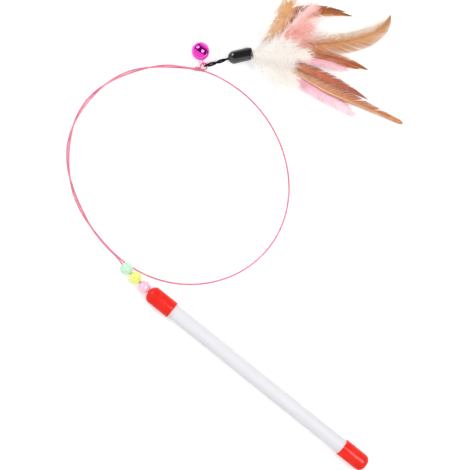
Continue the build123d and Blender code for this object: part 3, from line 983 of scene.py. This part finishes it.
def featherFinish(name, look):
    material, shader = newFinish(
        f"{name}Barbs", barbFinish["rough"], Sheen_Weight=look["sheen"], Specular_IOR_Level=barbFinish["gloss"]
    )
    uv = addNode(material, "ShaderNodeUVMap", uv_map="barbs").outputs["UV"]
    split = addNode(material, "ShaderNodeSeparateXYZ")
    join(material, uv, split.inputs["Vector"])
    along = ramp(material, split.outputs["X"], [(place, paint(colour)) for place, colour in look["along"]])
    edges = [(place, paint(colour)) for place, colour in zip(barbFinish["edgeStops"], look["edges"])]
    across = ramp(material, split.outputs["Y"], edges)
    reach = mathNode(material, "ABSOLUTE", mathNode(material, "SUBTRACT", split.outputs["Y"], 0.5))
    share = mapRange(material, reach, barbFinish["edgeReach"], (0, barbFinish["edgeShare"]), smooth=True)
    edged = colourMix(material, share, along, across)
    stretch = addNode(material, "ShaderNodeMapping", Scale=barbFinish["streakScale"])
    join(material, uv, stretch.inputs["Vector"])
    streak = addNode(material, "ShaderNodeTexNoise", Scale=1.0, Detail=barbFinish["streakDetail"])
    join(material, stretch.outputs["Vector"], streak.inputs["Vector"])
    tint = addNode(material, "ShaderNodeAttribute", attribute_name="tint")
    level = mathNode(material, "ADD", streak.outputs["Fac"], tint.outputs["Fac"])
    # Patches of the stain colour multiplied in: partly real stains, partly painted shade between the tufts
    low, high, scale = look["speck"]
    speckle = objectNoise(material, scale, barbFinish["speckAndShadeDetail"])
    patch = mapRange(material, speckle, (low, high), smooth=True)
    stainedAndShaded = colourMix(material, patch, edged, (*paint(look["stain"]), 1), "MULTIPLY")
    shaded = addNode(material, "ShaderNodeHueSaturation")
    join(material, stainedAndShaded, shaded.inputs["Color"])
    join(material, mapRange(material, level, barbFinish["levels"], look["shade"]), shaded.inputs["Value"])
    join(material, shaded.outputs["Color"], shader.inputs["Base Color"])
    roughness = mapRange(material, streak.outputs["Fac"], after=barbFinish["roughRange"])
    join(material, roughness, shader.inputs["Roughness"])
    return material


def shaftFinish(name, look):
    dark = paint(look["shaft"])
    light = [min(1, value * shaft["lighter"]) for value in dark]
    return mouldedFinish(f"{name}Shaft", dark, light, shaft["rough"], shaft["scale"], shaft["depth"])


def bezier(points, share):
    while len(points) > 1:
        points = [a.lerp(b, share) for a, b in zip(points, points[1:])]
    return points[0]


def station(spine, share):
    points, slopes = spine
    way = bezier(slopes, min(1, share)).normalized()
    return bezier(points, min(1, share)), way, up.cross(way).normalized()


def tipRound(share):
    past = max(0, (share - vane["tipStart"]) / (1 - vane["tipStart"]))
    return math.sqrt(max(vane["tipLeast"], 1 - past**2))


def vaneHalf(look, share):
    places = (0, *vaneShares)
    halves = [quill["width"] / 2] + [look["width"] * form / 2 for form in vaneForms[look["form"]]]
    for (a, b), (low, high) in zip(zip(places, places[1:]), zip(halves, halves[1:])):
        if share <= b:
            return (low + (high - low) * (share - a) / (b - a)) * tipRound(share)
    return 0.0


def shaftSide(look, share):
    bias = look["bias"] + look["rootBias"] * (1 - ease(share / shaft["rootBlend"]))
    start, end = shaft["sideBlend"]
    return bias * vaneHalf(look, share) * ease(share / start) * ease((1 - share) / end)


# A grid cut into separate strips: each point's strip, its place across the strip and its share of the length
def makeStrips(bm, count):
    grid = bmesh.ops.create_grid(bm, x_segments=count, y_segments=barbSegments, size=0.5)["verts"]
    faces = list(dict.fromkeys(face for vert in grid for face in vert.link_faces))
    edges = dict.fromkeys(edge for vert in grid for edge in vert.link_edges)
    seams = []
    for edge in edges:
        start, end = edge.verts
        if abs(start.co.x - end.co.x) < tiny and not edge.is_boundary:
            seams.append(edge)
    bmesh.ops.split_edges(bm, edges=seams)
    strips = {}
    for face in faces:
        number = int((face.calc_center_median().x + 0.5) * count)
        for vert in face.verts:
            strips[vert] = (number, (vert.co.x + 0.5) * count - number - 0.5, vert.co.y + 0.5)
    return strips, faces


def vaneBarbs(look, length, dice):
    step = (vane["end"] - look["bare"]) / look["barbs"]
    roots = [look["bare"] + (i + 0.5) * step for i in range(look["barbs"])]
    barbs = []
    for root in roots:
        shifts = [
            math.copysign(vane["splitShift"], root - place) * math.exp(-abs(root - place) / vane["splitReach"])
            for place in look["splits"]
        ]
        barbs.append(
            dict(
                step=step,
                lean=look["width"] / 2 / length * vane["lean"],
                part=sum(shifts) + dice.gauss(0, vane["partSpread"]),
                size=1 - vane["ragged"] * dice.random() ** 3,
                lift=dice.gauss(0, vane["liftSpread"]),
                tint=dice.random(),
            )
        )
    return roots, barbs


def vanePlace(spine, look, side, root, offset, t, barb):
    spread = offset * barb["step"] * (vane["overlap"] - look["fray"] * t**3)
    root = min(1, max(0, root + spread))
    lean = barb["lean"] * min(1, (1 - root) / vane["leanFade"])
    share = min(1, root + lean * t ** vane["leanPower"] + barb["part"] * t * t)
    place, _, across = station(spine, share)
    half = vaneHalf(look, share) * barb["size"] * look["slim"]
    start = shaftSide(look, root)
    trim = 1 - look["trim"] * (1 - ease(root / vane["trimEnd"])) * (side < 0)
    aside = start + (side * half - start) * t * trim
    camber = look["width"] * vane["camber"] * (1 - t * t)
    return place + across * aside + up * (camber + barb["lift"] * t)


def downBarbs(down, dice):
    roots = sorted(dice.uniform(down["start"], down["stop"]) for i in range(down["count"]))
    barbs = []
    for root in roots:
        rootShare = min(1, fluff["rootLength"] + root * fluff["rootGrowth"])
        tipShare = fluff["tipLength"] + (1 - fluff["tipLength"]) * ease((1 - root) / fluff["tipFade"])
        barbs.append(
            dict(
                fan=dice.uniform(*down["fan"]) * (1 - fluff["closing"] * root),
                curl=dice.uniform(*fluff["curl"]) * down["curl"],
                length=down["reach"] * rootShare * tipShare * dice.uniform(*fluff["length"]),
                wave=dice.uniform(*fluff["waves"]),
                phase=dice.random(),
                rise=dice.gauss(0, down["rise"]),
                bow=fluff["bowScale"] * down["bow"],
                sway=down["sway"],
                stray=dice.gauss(0, down["stray"]),
                tint=dice.random(),
            )
        )
    return roots, barbs


def downPlace(spine, look, side, root, offset, t, barb):
    place, way, across = station(spine, root)
    place = place + across * (shaftSide(look, root) + barb["stray"])
    turn = math.radians(barb["fan"]) * (1 - barb["curl"] * t)
    out = way * math.cos(turn) + across * (side * math.sin(turn))
    cross = up.cross(out).normalized()
    length = barb["length"]
    sway = math.sin(math.tau * (barb["wave"] * t + barb["phase"])) * barb["sway"] * length * t
    width = fluff["width"] * (1 - fluff["thinning"] * t)
    lift = barb["rise"] * t + barb["bow"] * t * (1 - t)
    return place + out * (length * t) + cross * (sway + offset * 2 * width) + up * lift


def layBarbs(bm, spine, look, side, roots, barbs, shape, pale=0):
    barbUv = bm.loops.layers.uv["barbs"]
    tintLayer = bm.verts.layers.float["tint"]
    strips, faces = makeStrips(bm, len(roots))
    for vert, (number, offset, t) in strips.items():
        place = shape(spine, look, side, roots[number], offset, t, barbs[number])
        place.z = max(place.z, lowest + vane["clearance"])
        vert.co = place
        vert[tintLayer] = barbs[number]["tint"]
    for face in faces:
        for loop in face.loops:
            number, _, t = strips[loop.vert]
            loop[barbUv].uv = (roots[number], 0.5 + 0.5 * side * (pale + (1 - pale) * t))


# A grid rolled up about the spine, from the quill's end in the glue to the tip
def makeShaft(bm, spine, look, spot):
    rings = [(Vector((mouthX - quill["depth"], *spot)), forward, up.cross(forward), 1.0)]
    for i in range(shaft["steps"] + 1):
        share = i / shaft["steps"]
        place, way, across = station(spine, share)
        rise = look["width"] * vane["camber"] * ease(share / shaft["riseBlend"])
        thin = 1 + (look["shaftSize"] - 1) * ease(share / shaft["sizeBlend"])
        place = place + across * shaftSide(look, share) + up * rise
        rings.append((place, way, across, (1 - shaft["taper"] * share) * thin))
    last = len(rings) - 1
    tube = bmesh.ops.create_grid(bm, x_segments=shaft["sides"], y_segments=last, size=0.5)["verts"]
    for vert in tube:
        for face in vert.link_faces:
            face.material_index = 1
        place, way, across, size = rings[round((vert.co.y + 0.5) * last)]
        angle = math.tau * vert.co.x
        wide = across * (math.cos(angle) * quill["width"] / 2 * size)
        deep = way.cross(across) * (math.sin(angle) * quill["thickness"] / 2 * size)
        vert.co = place + wide + deep
        vert.co.z = max(vert.co.z, lowest + shaft["clearance"])
    bmesh.ops.remove_doubles(bm, verts=tube, dist=shaft["seam"])


def makeFeather(name, look, spot, seed):
    dice = random.Random(seed)
    mouth = Vector((mouthX, 0, 0))
    points = [mouth + Vector(place) for place in (*look["bends"], look["tip"])]
    points.insert(0, Vector((mouthX, *spot)))
    spine = points, [b - a for a, b in zip(points, points[1:])]
    marks = [bezier(points, i / spineSteps) for i in range(spineSteps + 1)]
    length = sum((b - a).length for a, b in zip(marks, marks[1:]))
    bm = bmesh.new()
    bm.loops.layers.uv.new("barbs")
    bm.verts.layers.float.new("tint")
    if look["barbs"]:
        for side in (1, -1):
            roots, barbs = vaneBarbs(look, length, dice)
            layBarbs(bm, spine, look, side, roots, barbs, vanePlace)
    for values in look["down"]:
        down = {**plainDown, **values}
        for side in down["sides"]:
            roots, barbs = downBarbs(down, dice)
            layBarbs(bm, spine, look, side, roots, barbs, downPlace, down["pale"])
    makeShaft(bm, spine, look, spot)
    turn = Matrix((lureWay, up.cross(lureWay), up)).transposed().to_4x4()
    bm.transform(Matrix.Translation(lureJoint) @ turn @ Matrix.Scale(mm, 4))
    material = featherFinish(name, look)
    piece = finishPiece(name.replace("_", "."), bm, material, "lure", name, featherSharp)
    piece.data.materials.append(shaftFinish(name, look))


columns, rows = (1, 0, -1), (-2, -1, 0, 1, 2)
spots = [(column * quill["columnStep"], row * quill["rowStep"]) for column in columns for row in rows]
for number, (name, look) in enumerate(feathers.items()):
    makeFeather(name, {**plainFeather, **look}, spots[number], firstSeed + number)
print("feathers made")
